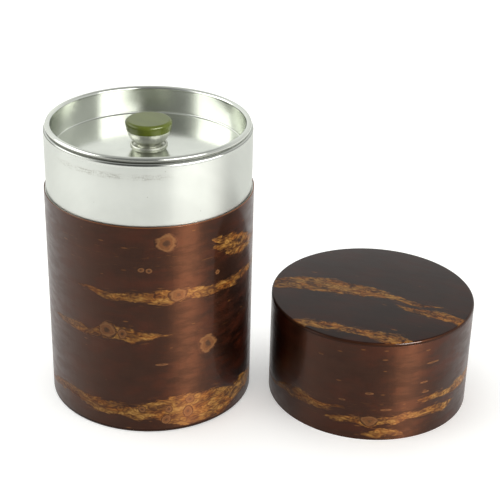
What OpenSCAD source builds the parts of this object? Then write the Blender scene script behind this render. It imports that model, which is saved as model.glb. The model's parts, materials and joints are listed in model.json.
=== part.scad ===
// Cherry bark tea caddy: a tin can with a bare neck, wound in polished cherry bark,
// its pressed inner lid with a riveted knob, and its bark cap standing beside it.
// The origin is the middle of the base, on the surface that the caddy stands on.
// +Z is up, -Y is the front, and the cap stands on the +X side.

/* [Bark] */
// Outside diameter over the bark, of the body and the cap alike
caddy_d = 75; // [64:0.5:90]
// Height of the bark-covered body
body_h = 81.5; // [60:0.5:120]
// Height of the cap at its edge
cap_h = 40; // [32:0.5:60]
// Rise of the cap's top from its edge to its middle
cap_crown = 0.7; // [0.3:0.1:1.2]
// Thickness of the bark wound round the walls
bark_t = 0.35; // [0.25:0.05:0.6]
// Thickness of the layered bark on the cap's top and on the base
bark_disc_t = 1.2; // [1:0.1:2]
// Rounding of the cap's upper edge
cap_edge_r = 0.9; // [0.3:0.1:0.9]
// Rounding of the base's lower edge
base_edge_r = 0.6; // [0.3:0.1:0.9]
// How far the tin tubes stop short of the bark's free edges
tin_setback = 0.3; // [0.1:0.1:0.6]

/* [Tin] */
// Thickness of the can's wall
can_t = 0.3; // [0.2:0.05:0.4]
// Thickness of the other tin sheet: cap tube, pressed ends and inner lid
tin_t = 0.25; // [0.2:0.05:0.4]
// Height of the bare neck above the bark
neck_h = 22.5; // [16:0.5:28]
// Outer radius of the can's rolled-in mouth
mouth_roll_r = 1; // [0.8:0.05:1.2]
// Height of the skirt on the pressed ends
end_skirt_h = 6; // [4:0.5:8]
// Corner radius of the pressed ends
end_corner_r = 1; // [0.6:0.1:1.5]
// Diameter of the raised panel in the can's bottom
panel_d = 54; // [40:1:58]
// Rise of the raised panel in the can's bottom
panel_rise = 0.8; // [0.4:0.1:1.5]
// Width of the can's inside seam
seam_w = 5; // [3:0.5:8]

/* [Inner lid] */
// Outer radius of the lid's rolled rim
lid_roll_r = 0.8; // [0.6:0.05:1]
// Depth of the dish, from the top of the rolled rim to the edge of its floor
dish_depth = 10.2; // [7:0.1:13]
// Corner radius between the dish's wall and its floor
dish_corner_r = 1.1; // [0.6:0.1:2]
// Rise of the dish's floor from its edge to the knob
dish_crown = 0.8; // [0.4:0.1:1.5]

/* [Knob] */
// Height of the knob above the dish's floor
knob_h = 9.7; // [8.5:0.1:11]
// Widest diameter of the knob's lacquered top
knob_top_d = 16.6; // [15.8:0.1:18]
// Height of the lacquered top
knob_top_h = 3.5; // [3:0.1:4.5]
// Rounding of the lacquered top's edge
knob_top_r = 1.2; // [0.6:0.1:1.6]
// Diameter of the knob's metal bowl
knob_bowl_d = 15.1; // [14:0.1:15.4]
// Radius of the bowl's curve, from its wall in to its waist
knob_bowl_r = 5.4; // [4.8:0.1:5.8]
// Diameter of the waist between the bowl and the foot ring
knob_waist_d = 8.6; // [8:0.1:9.4]
// Diameter of the knob's foot ring
knob_foot_d = 13.2; // [12:0.1:14]
// Thickness of the foot ring
foot_ring_t = 1; // [0.8:0.1:1.4]
// Thickness of the knob's metal
knob_t = 0.35; // [0.3:0.05:0.6]
// Diameter of the rivet's shank
rivet_d = 3; // [2:0.1:4]
// Diameter of the rivet's two heads
rivet_head_d = 5.4; // [5:0.1:6.5]
// Height of the rivet's heads
rivet_head_h = 0.9; // [0.6:0.1:1.2]
// Diameter of the washer under the dish
washer_d = 9; // [7.5:0.5:12]
// Thickness of the washer
washer_t = 0.5; // [0.3:0.1:1]

/* [Cap standing beside the caddy] */
// Clear gap between the caddy and the cap
cap_gap = 7.5; // [3:0.5:40]
// Direction of the cap from the caddy, in degrees from +X
cap_turn = -6; // [-30:1:30]

/* [Fits] */
// Gap all round between the cap's tube and the can's neck
cap_clearance = 0.1; // [0.06:0.02:0.2]
// Gap all round between the lid's wall and the can's mouth
lid_clearance = 0.2; // [0.15:0.05:0.4]
// Gap between the lid's rolled rim and the mouth that it rests on
lid_seat_gap = 0.05; // [0.04:0.01:0.1]
// Film of glue or solder between pieces that are fixed to each other
film = 0.03; // [0.02:0.01:0.05]
// Gap all round between the rivet's shank and its holes
rivet_clearance = 0.1; // [0.05:0.05:0.2]

/* [Hidden] */
$fn = 96;

// How far round the sheet is rolled, in degrees, in the can's mouth and in the lid's rim
mouth_roll_turn = 280;
lid_roll_turn = 280;
// Facets of the fan that trims a rolled sheet, and of a crowned face
fan_steps = 8;
crown_steps = 10;
// How a crowned face falls to its edge: 2 all the way, more only near the edge
floor_fall = 2;
cap_fall = 3;

// Radii of the nested walls, from the bark inwards
caddy_r = caddy_d / 2;
tin_r = caddy_r - bark_t - film;
cap_in_r = tin_r - tin_t;
can_r = cap_in_r - cap_clearance;
can_in_r = can_r - can_t;
sleeve_in_r = can_r + film;

// Heights of the body
wall_z = bark_disc_t + film;
rim_z = body_h + neck_h;
mouth_roll_z = rim_z - mouth_roll_r;

// The inner lid hangs in the mouth by its rolled rim
lid_wall_r = can_r - 2 * mouth_roll_r - lid_clearance;
lid_roll_c = lid_wall_r - tin_t + lid_roll_r;
seat_run = can_r - mouth_roll_r - lid_roll_c;
seat_reach = lid_roll_r + mouth_roll_r + lid_seat_gap;
lid_roll_z = mouth_roll_z + sqrt(seat_reach * seat_reach - seat_run * seat_run);
dish_edge_h = lid_roll_r - dish_depth;
dish_floor_r = lid_wall_r - dish_corner_r;
dish_mid_z = lid_roll_z + dish_edge_h + dish_crown;

// The knob stands on the middle of the dish
knob_z = dish_mid_z + film;
bowl_r = knob_bowl_d / 2;
bowl_c = bowl_r - knob_bowl_r;
waist_r = knob_waist_d / 2;
top_r = knob_top_d / 2;
top_foot_z = knob_h - knob_top_h;
top_foot_r = bowl_r + film + knob_t;
stem_rim_z = knob_h - knob_top_r - knob_t;
foot_ring_r = foot_ring_t / 2;
foot_ring_c = knob_foot_d / 2 - foot_ring_r;
rivet_hole_r = rivet_d / 2 + rivet_clearance;

// Middle of the cap where it stands
cap_away = caddy_d + cap_gap;
cap_x = cap_away * cos(cap_turn);
cap_y = cap_away * sin(cap_turn);
cap_wall_h = cap_h - bark_disc_t - film;

// Seam inside the can, turned to the back, between the bottom's skirt and the mouth
seam_z = wall_z + end_skirt_h + tin_setback;
seam_h = mouth_roll_z - mouth_roll_r - tin_setback - seam_z;
seam_angle = seam_w / can_in_r * 180 / PI;
seam_bite = can_t / 2;

tin = "#c9ccca";
bark = "#5a2416";
green = "#7f8f3c";

// A straight wall of revolution
module wall(r_in, r_out, z_low, z_high) {
    rotate_extrude() translate([r_in, z_low]) square([r_out - r_in, z_high - z_low]);
}

// Section of a sheet bent round an arc of outer radius r, from angle a on to angle b
module bend(r, t, a, b) {
    intersection() {
        difference() {
            circle(r = r);
            circle(r = r - t);
        }
        polygon([
            [0, 0],
            for (k = [0:fan_steps])
                let (turn = a + (b - a) * k / fan_steps) 2 * r * [cos(turn), sin(turn)]
        ]);
    }
}

// Section of a disc whose upper outer edge is rounded
module rounded_disc(r, t, edge_r) {
    square([r - edge_r, t]);
    square([r, t - edge_r]);
    translate([r - edge_r, t - edge_r])
        intersection() {
            circle(r = edge_r);
            square(edge_r);
        }
}

// Section of a pressed end: a flat plate with a skirt that turns down round its edge
module pressed_end(r) {
    translate([0, -tin_t]) square([r - end_corner_r, tin_t]);
    translate([r - end_corner_r, -end_corner_r]) bend(end_corner_r, tin_t, 0, 90);
    translate([r - tin_t, -end_skirt_h]) square([tin_t, end_skirt_h - end_corner_r]);
}

// Section of a bottom plate's raised middle, with a sloping step
module raised_panel() {
    panel_r = panel_d / 2;
    polygon([
        [0, panel_rise], [panel_r - panel_rise, panel_rise], [panel_r, 0], [panel_r, tin_t],
        [panel_r - panel_rise + tin_t / 2, panel_rise + tin_t], [0, panel_rise + tin_t]
    ]);
}

// Inner can: one tin tube from the base to the mouth, whose edge is rolled inwards
module can_wall() {
    color(tin) {
        union() {
            translate([0, 0, mouth_roll_z])
                rotate_extrude() {
                    translate([can_in_r, wall_z - mouth_roll_z]) square([can_t, mouth_roll_z - wall_z]);
                    translate([can_r - mouth_roll_r, 0]) bend(mouth_roll_r, can_t, 0, mouth_roll_turn);
                }
            rotate([0, 0, 90 - seam_angle / 2])
                rotate_extrude(angle = seam_angle)
                    translate([can_in_r - can_t, seam_z]) square([can_t + seam_bite, seam_h]);
        }
    }
}

// Bottom of the can: a pressed end whose skirt turns up inside the wall
module can_bottom() {
    color(tin)
        rotate_extrude()
            translate([0, wall_z]) {
                difference() {
                    mirror([0, 1]) pressed_end(can_in_r - film);
                    translate([-tin_t, -tin_t]) square([panel_d / 2 + tin_t, 3 * tin_t]);
                }
                raised_panel();
            }
}

// Tin sleeve soldered round the lower can, which carries the bark
module body_sleeve() {
    color(tin) wall(sleeve_in_r, tin_r, wall_z, body_h - tin_setback);
}

// Bark wound round the body; the cap's bark meets its upper edge when the caddy is closed
module body_bark() {
    color(bark) wall(tin_r + film, caddy_r, wall_z, body_h);
}

// Layered bark under the base, with a sanded lower edge
module base_bark() {
    color(bark)
        rotate_extrude()
            translate([0, bark_disc_t])
                mirror([0, 1]) rounded_disc(caddy_r, bark_disc_t, base_edge_r);
}

// Inner lid: one pressed dish, its rim rolled outwards over the can's mouth
module lid_pan() {
    color(tin)
        translate([0, 0, lid_roll_z])
            rotate_extrude() {
                translate([lid_roll_c, 0]) bend(lid_roll_r, tin_t, 180 - lid_roll_turn, 180);
                difference() {
                    dish_section(0);
                    dish_section(tin_t);
                    translate([0, -2 * dish_depth]) square([rivet_hole_r, 3 * dish_depth]);
                }
            }
}

// Height of a crowned face above its edge, at a share of the way from its middle to its edge
function crown(share, rise, fall) = rise * (1 - pow(share, fall));

// Section of all that the dish encloses, drawn in from its outer face by the inset
module dish_section(inset) {
    low_h = dish_edge_h - tin_t + inset;
    difference() {
        translate([0, inset]) mirror([0, 1]) rounded_disc(lid_wall_r - inset, inset - low_h, dish_corner_r - inset);
        polygon([
            for (k = [0:crown_steps - 1])
                let (share = k / crown_steps)
                    [dish_floor_r * share, low_h + crown(share, dish_crown, floor_fall)],
            [dish_floor_r, low_h], [dish_floor_r, low_h - dish_depth], [0, low_h - dish_depth]
        ]);
    }
}

// Metal of the knob: a bowl that narrows to a waist on a foot ring, hollow under the lacquered top
module knob_stem() {
    color(tin)
        translate([0, 0, knob_z])
            rotate_extrude()
                difference() {
                    union() {
                        stem_section(0, foot_ring_r, stem_rim_z);
                        square([foot_ring_c, foot_ring_r]);
                        translate([foot_ring_c, foot_ring_r]) circle(r = foot_ring_r);
                    }
                    stem_section(knob_t, foot_ring_r + knob_t, stem_rim_z + knob_t);
                    translate([-rivet_hole_r, -knob_t]) square([2 * rivet_hole_r, knob_h]);
                }
}

// Section of the bowl, drawn in by the inset: straight at its rim, curved in below it to the straight waist
module stem_section(inset, z_low, z_high) {
    translate([0, top_foot_z]) square([bowl_r - inset, z_high - top_foot_z]);
    translate([0, z_low]) square([waist_r - inset, top_foot_z - z_low]);
    intersection() {
        translate([bowl_c, top_foot_z]) circle(r = knob_bowl_r - inset);
        translate([0, z_low]) square([bowl_r, top_foot_z - z_low]);
    }
}

// Lacquered top, drawn over the bowl and closed in on it at its lower edge
module knob_top() {
    color(green)
        translate([0, 0, knob_z])
            rotate_extrude()
                difference() {
                    top_section(0);
                    top_section(knob_t);
                }
}

// Section of the lacquered top, drawn in all round by the metal's thickness
module top_section(inset) {
    z_edge = knob_h - knob_top_r;
    translate([0, z_edge]) square([top_r - knob_top_r, knob_top_r - inset]);
    intersection() {
        translate([top_r - knob_top_r, z_edge]) circle(r = knob_top_r - inset);
        translate([0, z_edge]) square([top_r, knob_top_r]);
    }
    polygon([
        [0, top_foot_z - inset], [top_foot_r - inset, top_foot_z - inset],
        [top_foot_r - inset, top_foot_z], [top_r - inset, z_edge], [0, z_edge]
    ]);
}

// Washer under the dish, which spreads the rivet's pull
module knob_washer() {
    z_high = dish_mid_z - tin_t - film;
    color(tin) wall(rivet_hole_r, washer_d / 2, z_high - washer_t, z_high);
}

// Rivet through the washer, the dish and the knob's floor, clinched inside the bowl
module knob_rivet() {
    z_low = dish_mid_z - tin_t - washer_t - 2 * film;
    z_high = knob_z + foot_ring_r + knob_t + film;
    color(tin) {
        rotate_extrude() {
            translate([0, z_low]) square([rivet_d / 2, z_high - z_low]);
            translate([0, z_high]) rounded_disc(rivet_head_d / 2, rivet_head_h, rivet_head_h / 2);
            translate([0, z_low]) mirror([0, 1]) rounded_disc(rivet_head_d / 2, rivet_head_h, rivet_head_h / 2);
        }
    }
}

// Tin tube inside the cap, which slides over the can's neck
module cap_tube() {
    color(tin) translate([cap_x, cap_y, 0]) wall(cap_in_r, tin_r, tin_setback, cap_wall_h);
}

// Pressed tin plate that closes the cap's tube under the layered bark
module cap_plate() {
    color(tin)
        translate([cap_x, cap_y, cap_wall_h])
            rotate_extrude() pressed_end(cap_in_r - film);
}

// Bark wound round the cap
module cap_bark() {
    color(bark) translate([cap_x, cap_y, 0]) wall(tin_r + film, caddy_r, 0, cap_wall_h);
}

// Layered bark on the cap's top, crowned in the middle and with a sanded upper edge
module cap_top_bark() {
    crown_r = caddy_r - cap_edge_r;
    color(bark)
        translate([cap_x, cap_y, cap_h - bark_disc_t])
            rotate_extrude() {
                rounded_disc(caddy_r, bark_disc_t, cap_edge_r);
                polygon([
                    [0, bark_disc_t / 2], [crown_r - cap_edge_r, bark_disc_t / 2],
                    for (k = [crown_steps:-1:0])
                        let (share = k / crown_steps)
                            [crown_r * share, bark_disc_t + crown(share, cap_crown, cap_fall)]
                ]);
            }
}

can_wall();
can_bottom();
body_sleeve();
body_bark();
base_bark();
lid_pan();
knob_stem();
knob_top();
knob_washer();
knob_rivet();
cap_tube();
cap_plate();
cap_bark();
cap_top_bark();
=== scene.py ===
"""Looks of a round cherry bark tea caddy, its tin inner lid and its bark cap standing beside it."""
import json
import logging
import math
from dataclasses import dataclass, replace
from enum import Enum, IntEnum
from functools import reduce
from typing import ClassVar

import bmesh
import bpy
from mathutils import Matrix, Vector

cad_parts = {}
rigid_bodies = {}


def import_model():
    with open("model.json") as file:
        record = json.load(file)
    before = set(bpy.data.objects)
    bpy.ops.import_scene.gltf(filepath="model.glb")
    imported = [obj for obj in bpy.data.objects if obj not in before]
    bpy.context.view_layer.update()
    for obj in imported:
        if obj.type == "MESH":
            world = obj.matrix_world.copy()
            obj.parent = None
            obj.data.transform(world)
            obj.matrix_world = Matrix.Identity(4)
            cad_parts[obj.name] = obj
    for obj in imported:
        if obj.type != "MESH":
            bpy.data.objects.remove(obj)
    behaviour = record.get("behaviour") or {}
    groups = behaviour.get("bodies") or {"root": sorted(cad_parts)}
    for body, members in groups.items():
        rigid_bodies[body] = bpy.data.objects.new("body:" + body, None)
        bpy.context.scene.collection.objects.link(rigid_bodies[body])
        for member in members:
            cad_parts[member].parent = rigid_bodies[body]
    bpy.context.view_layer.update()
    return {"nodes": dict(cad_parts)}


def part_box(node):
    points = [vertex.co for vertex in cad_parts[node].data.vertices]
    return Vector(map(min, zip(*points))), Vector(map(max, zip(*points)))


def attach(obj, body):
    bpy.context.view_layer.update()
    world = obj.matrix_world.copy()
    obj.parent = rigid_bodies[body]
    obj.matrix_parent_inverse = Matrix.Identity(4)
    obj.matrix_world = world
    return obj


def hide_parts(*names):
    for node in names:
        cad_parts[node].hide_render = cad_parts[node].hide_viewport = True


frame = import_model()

LOG = logging.getLogger("tea_caddy")

# One millimetre in the frame's metres
MM = 0.001
# Length of the short facets that keep a flat next to a round one flat
GUARD = 0.12 * MM
# Points nearer to each other than the first are one, and points nearer to a cut than the second lie on it
WELD = 0.0005 * MM
ON_CUT = 0.0001 * MM
# Edges that bend more than this stay crisp
CRISP = math.radians(40.0)
FULL_TURN = 2.0 * math.pi
# The caddy's axis, and places that need no other centre
ORIGIN = (0.0, 0.0, 0.0)

Colour = tuple[float, float, float]
Point = tuple[float, float, float]
Range = tuple[float, float]
Stops = tuple[tuple[float, Colour], ...]


class Body(Enum):
    """The bodies that pieces ride on."""

    CANISTER = "canister"
    INNER_LID = "inner_lid"
    CAP = "cap"


class Slot(Enum):
    """The record's material slots."""

    NECK_TIN = "neck_tin"
    INNER_TIN = "inner_tin"
    LID_TIN = "lid_tin"
    KNOB_METAL = "knob_metal"
    GREEN_LACQUER = "green_lacquer"
    WALL_BARK = "wall_bark"
    DISC_BARK = "disc_bark"


class Facets(IntEnum):
    """Number of facets along the round stretches of a section, and round a turned piece."""

    FINE_EDGE = 4
    CORNER = 8
    CAP_EDGE = 10
    KNOB_EDGE = 12
    BOWL_INSIDE = 14
    DOME = 16
    BOWL = 20
    FOOT_RING = 30
    ROLLED_EDGE = 36
    TURN = 256


class Field:
    """A number, vector or colour that varies from place to place: one output of a node tree."""

    def __init__(self, tree: "FieldTree", socket: bpy.types.NodeSocket) -> None:
        """Keeps the tree and the output socket.

        Args:
            tree: The tree that the socket belongs to.
            socket: The output that gives the value.
        """
        self.tree = tree
        self.socket = socket

    def __add__(self, other: "Field | float") -> "Field":
        """The sum with another field or a number."""
        return self.tree.math("ADD", self, other)

    def __sub__(self, other: "Field | float") -> "Field":
        """What is left after taking away another field or a number."""
        return self.tree.math("SUBTRACT", self, other)

    def __rsub__(self, other: float) -> "Field":
        """A number less this field."""
        return self.tree.math("SUBTRACT", other, self)

    def __mul__(self, other: "Field | float") -> "Field":
        """The product with another field or a number."""
        return self.tree.math("MULTIPLY", self, other)

    def __truediv__(self, other: "Field | float") -> "Field":
        """The quotient by another field or a number."""
        return self.tree.math("DIVIDE", self, other)

    def size(self) -> "Field":
        """The value without its sign."""
        return self.tree.math("ABSOLUTE", self)

    def at_most(self, other: "Field | float") -> "Field":
        """The smaller of the two values."""
        return self.tree.math("MINIMUM", self, other)

    def at_least(self, other: "Field | float") -> "Field":
        """The larger of the two values."""
        return self.tree.math("MAXIMUM", self, other)

    def power(self, exponent: float) -> "Field":
        """The value raised to a power."""
        return self.tree.math("POWER", self, exponent)

    def ease(self, start: float, end: float) -> "Field":
        """Runs smoothly from 0 at start to 1 at end, which may be the smaller of the two."""
        return self.tree.ease(self, start, end)


class FieldTree:
    """A node tree, written as sums and products of fields."""

    def __init__(self, tree: bpy.types.NodeTree) -> None:
        """Keeps the tree's nodes and links.

        Args:
            tree: The node tree of a material or of the world.
        """
        self.nodes = tree.nodes
        self.links = tree.links

    def node(self, kind: str, **settings: object) -> bpy.types.Node:
        """Adds a node.

        Args:
            kind: The node's type name.
            settings: Properties to set on it.

        Returns:
            The new node.
        """
        made = self.nodes.new(kind)
        for name, value in settings.items():
            setattr(made, name, value)
        return made

    def feed(self, socket: bpy.types.NodeSocket, value: "Field | float | Colour") -> None:
        """Links a field to an input, or sets the input to a constant.

        Args:
            socket: The input socket.
            value: A field, a number, or a colour or vector.
        """
        if isinstance(value, Field):
            self.links.new(value.socket, socket)
        elif isinstance(value, tuple) and socket.type == "RGBA":
            socket.default_value = (*value, 1.0)
        else:
            socket.default_value = value

    def result(self, kind: str, *values: "Field | float", **settings: object) -> Field:
        """Adds a node and feeds its inputs in order.

        Args:
            kind: The node's type name.
            values: What its first inputs get.
            settings: Properties to set on it.

        Returns:
            Its first output.
        """
        made = self.node(kind, **settings)
        for socket, value in zip(made.inputs, values):
            self.feed(socket, value)
        return Field(self, made.outputs[0])

    def math(self, operation: str, *values: "Field | float") -> Field:
        """Adds a Math node and gives its result."""
        return self.result("ShaderNodeMath", *values, operation=operation)

    def vector(self, *parts: "Field | float") -> Field:
        """Joins three numbers into a vector."""
        return self.result("ShaderNodeCombineXYZ", *parts)

    def parts(self, kind: str, whole: Field) -> tuple[Field, ...]:
        """Takes a vector or a colour apart.

        Args:
            kind: Type name of the node that does it.
            whole: The vector or the colour.

        Returns:
            Its parts.
        """
        made = self.node(kind)
        self.feed(made.inputs[0], whole)
        return tuple(Field(self, output) for output in made.outputs)

    def axes(self, vector: Field) -> tuple[Field, ...]:
        """The x, y and z of a vector."""
        return self.parts("ShaderNodeSeparateXYZ", vector)

    def split(self, colour: Field) -> tuple[Field, ...]:
        """The three channels of a colour."""
        return self.parts("ShaderNodeSeparateColor", colour)

    def ease(self, value: Field, start: float, end: float) -> Field:
        """Runs smoothly from 0 to 1.

        Args:
            value: The number.
            start: Where it gives 0.
            end: Where it gives 1, which may be the smaller of the two.

        Returns:
            The share, from 0 to 1.
        """
        limits = (0.0, 1.0) if start < end else (1.0, 0.0)
        return self.result("ShaderNodeMapRange", value, min(start, end), max(start, end), *limits,
                           interpolation_type="SMOOTHSTEP")

    def ramp(self, value: Field, stops: Stops, smooth: str = "LINEAR") -> Field:
        """Turns a number into a colour.

        Args:
            value: The number, from 0 to 1.
            stops: Places and colours, in order.
            smooth: How colours run from stop to stop.

        Returns:
            The colour.
        """
        made = self.node("ShaderNodeValToRGB")
        made.color_ramp.interpolation = smooth
        elements = made.color_ramp.elements
        while len(elements) < len(stops):
            elements.new(1.0)
        for element, (spot, colour) in zip(elements, stops):
            element.position = spot
            element.color = (*colour, 1.0)
        self.feed(made.inputs[0], value)
        return Field(self, made.outputs["Color"])

    def within(self, value: Field, limits: tuple[float, float], soft: float) -> Field:
        """Is 1 between two limits and fades to 0 beyond them.

        Args:
            value: The number.
            limits: The lower and the upper limit.
            soft: Half the width of the fade.

        Returns:
            The share, from 0 to 1.
        """
        low, high = limits
        return value.ease(low - soft, low + soft) * value.ease(high + soft, high - soft)

    def mix(self, share: "Field | float", below: "Field | Colour", above: "Field | Colour",
            blend: str = "MIX") -> Field:
        """Lays one colour over another.

        Args:
            share: How much of the upper colour shows, from 0 to 1.
            below: The lower colour.
            above: The upper colour.
            blend: How the two are blended.

        Returns:
            The colour.
        """
        made = self.node("ShaderNodeMix", data_type="RGBA", blend_type=blend)
        colours = [socket for socket in made.inputs if socket.type == "RGBA"]
        self.feed(made.inputs[0], share)
        self.feed(colours[0], below)
        self.feed(colours[1], above)
        return Field(self, next(socket for socket in made.outputs if socket.type == "RGBA"))


class FinishTree(FieldTree):
    """A material's node tree with one shader."""

    def __init__(self, name: str) -> None:
        """Makes an empty material.

        Args:
            name: The material's name.
        """
        self.material = bpy.data.materials.new(name)
        self.material.use_nodes = True
        super().__init__(self.material.node_tree)
        self.nodes.clear()
        self.shader = self.node("ShaderNodeBsdfPrincipled")
        output = self.node("ShaderNodeOutputMaterial")
        self.links.new(self.shader.outputs["BSDF"], output.inputs["Surface"])

    def place(self, centre: Point) -> tuple[Field, Field, Field]:
        """Where a point lies from a piece's middle, in millimetres.

        Args:
            centre: The middle, in metres.

        Returns:
            Its x, y and z.
        """
        coordinates = self.node("ShaderNodeTexCoord")
        mapping = self.node("ShaderNodeMapping", vector_type="POINT")
        mapping.inputs["Scale"].default_value = (1.0 / MM,) * 3
        mapping.inputs["Location"].default_value = -Vector(centre) / MM
        self.links.new(coordinates.outputs["Object"], mapping.inputs["Vector"])
        return self.axes(Field(self, mapping.outputs["Vector"]))

    def set(self, name: str, value: "Field | float | Colour") -> None:
        """Sets one of the shader's inputs."""
        self.feed(self.shader.inputs[name], value)

    def set_all(self, values: "dict[str, Field | float | Colour]") -> None:
        """Sets several of the shader's inputs by their names."""
        for name, value in values.items():
            self.set(name, value)

    def relief(self, height: Field) -> None:
        """Raises fine relief on the surface.

        Args:
            height: The relief, in millimetres.
        """
        made = self.node("ShaderNodeBump")
        made.inputs["Strength"].default_value = 1.0
        made.inputs["Distance"].default_value = MM
        self.feed(made.inputs["Height"], height)
        self.links.new(made.outputs["Normal"], self.shader.inputs["Normal"])

    def brushed_round(self, amount: float) -> None:
        """Spreads the sheen up and down, as on a surface worked round its axis.

        Args:
            amount: How far the sheen is spread, from 0 to 1.
        """
        tangent = self.node("ShaderNodeTangent", direction_type="RADIAL", axis="Z")
        self.links.new(tangent.outputs[0], self.shader.inputs["Tangent"])
        self.set("Anisotropic", amount)
        self.set("Anisotropic Rotation", 0.25)


@dataclass(frozen=True)
class Grain:
    """A kind of noise or scatter on a sheet.

    Attributes:
        along: Its size along the sheet's grain, in millimetres.
        across: Its size across the sheet's grain, in millimetres.
        layer: Depth of its slice through the noise, so that each kind differs.
        detail: Number of finer octaves.
        swirl: How far it is pulled about.
    """

    along: float
    across: float
    layer: float = 0.0
    detail: float = 3.0
    swirl: float = 0.0


@dataclass(frozen=True)
class Blend:
    """How a noise or a distance shows.

    Attributes:
        start: Its value where it starts to show.
        end: Its value where it shows in full, which may be the smaller of the two.
        share: How much it shows there.
    """

    start: float
    end: float
    share: float = 1.0

    def of(self, value: Field) -> Field:
        """How much shows at each point."""
        return value.ease(self.start, self.end) * self.share


@dataclass(frozen=True)
class Spot:
    """A place on a sheet.

    Attributes:
        tree: The finish that it is worked out in.
        along: Place along the grain, in millimetres.
        across: Place across the grain, in millimetres.
        layer: A number that makes each sheet differ.
    """

    tree: FinishTree
    along: Field
    across: Field
    layer: float = 0.0

    def noise(self, grain: Grain) -> Field:
        """Smooth noise.

        Args:
            grain: The kind of noise.

        Returns:
            Values from 0 to 1, mostly near the middle.
        """
        tree = self.tree
        made = tree.node("ShaderNodeTexNoise", noise_dimensions="3D")
        place = tree.vector(self.along / grain.along, self.across / grain.across, self.layer + grain.layer)
        settings = {"Vector": place, "Scale": 1.0, "Detail": grain.detail, "Distortion": grain.swirl}
        for name, value in settings.items():
            tree.feed(made.inputs[name], value)
        return Field(tree, made.outputs[0])

    def cells(self, grain: Grain) -> tuple[Field, Field, Field]:
        """Scattered points, each with two numbers of its own.

        Args:
            grain: The points' spacing.

        Returns:
            The distance to the nearest point, in spacings, and that point's numbers from 0 to 1.
        """
        tree = self.tree
        made = tree.node("ShaderNodeTexVoronoi", voronoi_dimensions="2D", feature="F1")
        shift = self.layer + grain.layer
        place = tree.vector(self.along / grain.along + shift, self.across / grain.across, 0.0)
        for name, value in {"Vector": place, "Scale": 1.0, "Randomness": 0.9}.items():
            tree.feed(made.inputs[name], value)
        number, other, _ = tree.split(Field(tree, made.outputs["Color"]))
        return Field(tree, made.outputs["Distance"]), number, other


@dataclass(frozen=True)
class Finish:
    """A finish as pieces wear it.

    Attributes:
        material: Its material.
        slot: The record's slot that it belongs to.
    """

    material: bpy.types.Material
    slot: Slot


@dataclass(frozen=True)
class Band:
    """A golden band of lenticels across a sheet of bark.

    Attributes:
        stations: Place along the grain, place across it and half width, at points along the band. Places
            along are degrees from the front on a wall and millimetres on a disc; the rest is millimetres.
        fray: How ragged its edges are.
    """

    stations: tuple[tuple[float, float, float], ...]
    fray: float = 1.0


@dataclass(frozen=True)
class Knot:
    """A ringed knot in the bark.

    Attributes:
        along: Its middle along the grain, in a band's units.
        across: Its middle across the grain, in millimetres.
        half_along: Half its length along the grain, in millimetres.
        half_across: Half its width across the grain, in millimetres.
    """

    along: float
    across: float
    half_along: float
    half_across: float


# Kinds of noise on the bark: its ground
TONE = Grain(30.0, 9.0, 0.0, 5.0, 0.4)
CLOUD = Grain(13.0, 8.0, 12.0, 4.0)
HAIRS = Grain(8.0, 0.30, 2.2, 4.0)
BLOTCH = Grain(7.0, 2.6, 6.4, 5.0, 0.2)
MOTTLE = Grain(4.0, 2.0, 5.5, 5.0, 0.6)
WAVES = Grain(4.2, 15.0, 8.3, 2.0)
DASHES = Grain(8.0, 2.0)
# Its golden bands and its knots
BAND_WAVE = Grain(9.0, 6.0, 1.3, 2.0)
BAND_FRAY = Grain(3.4, 0.9, 4.1, 4.0, 0.6)
BAND_FLOW = Grain(6.5, 3.0, 3.1, 2.0, 0.7)
BAND_EYES = Grain(4.6, 3.4, 0.4)
FRINGE = Grain(4.5, 0.42, 11.0, 2.0)
KNOT_BEND = Grain(5.0, 5.0, 7.7, 1.0)
KNOT_SHIFT = Grain(5.0, 5.0, 9.9, 1.0)
# How these show on the ground
TONE_BLEND = Blend(0.36, 0.66)
FLUSH_BLEND = Blend(0.44, 0.62)
HAIR_BLEND = Blend(0.50, 0.75, 0.45)
DASH_BLEND = Blend(1.0, 0.4, 0.65)
ROUGH_BLEND = Blend(0.40, 0.60)
# How they show on the golden bands and the knots
GLEAM_BLEND = Blend(0.28, 0.72, 0.58)
RUDDY_BLEND = Blend(0.45, 0.62, 0.80)
FRINGE_BLEND = Blend(0.57, 0.70)
EYE_BLEND = Blend(0.50, 0.30)
EYE_CHOICE = Blend(0.30, 0.40)
KNOT_BLEND = Blend(1.08, 0.98)
# By the distance from a band's edge in millimetres: the band, its border, the dark round it and its fringe
BAND_EDGE = Blend(0.14, -0.14)
BORDER = Blend(-0.9, 0.1, 0.10)
SHADE = Blend(1.2, 0.1, 0.60)
FRINGE_REACH = Blend(1.7, 0.2, 0.70)
# How far waves and fraying move a band's edge: by how much, by what share of its half width and at most
WAVE_STRAY = 2.4
FRAY_STRAY = 2.0
STRAY_SHARE = 0.55
STRAY_MOST = 1.5
# Half widths in millimetres over which a band runs out, and how far its edge then draws back
BAND_END = Blend(0.30, 0.05, 0.60)
# How far the flow and the mottling sweep the eyes in millimetres, and the flow the threads in threads
EYE_SWEEP = (5.0, 2.4)
THREAD_SWEEP = 5.5
# Rings to each spacing of the eyes, and threads to a millimetre across a band
EYE_RINGS = 2.8
THREADS = 0.55
# Radius of the smallest dash and how much larger the largest is, in spacings
DASH_SIZE = (0.03, 0.17)


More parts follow.
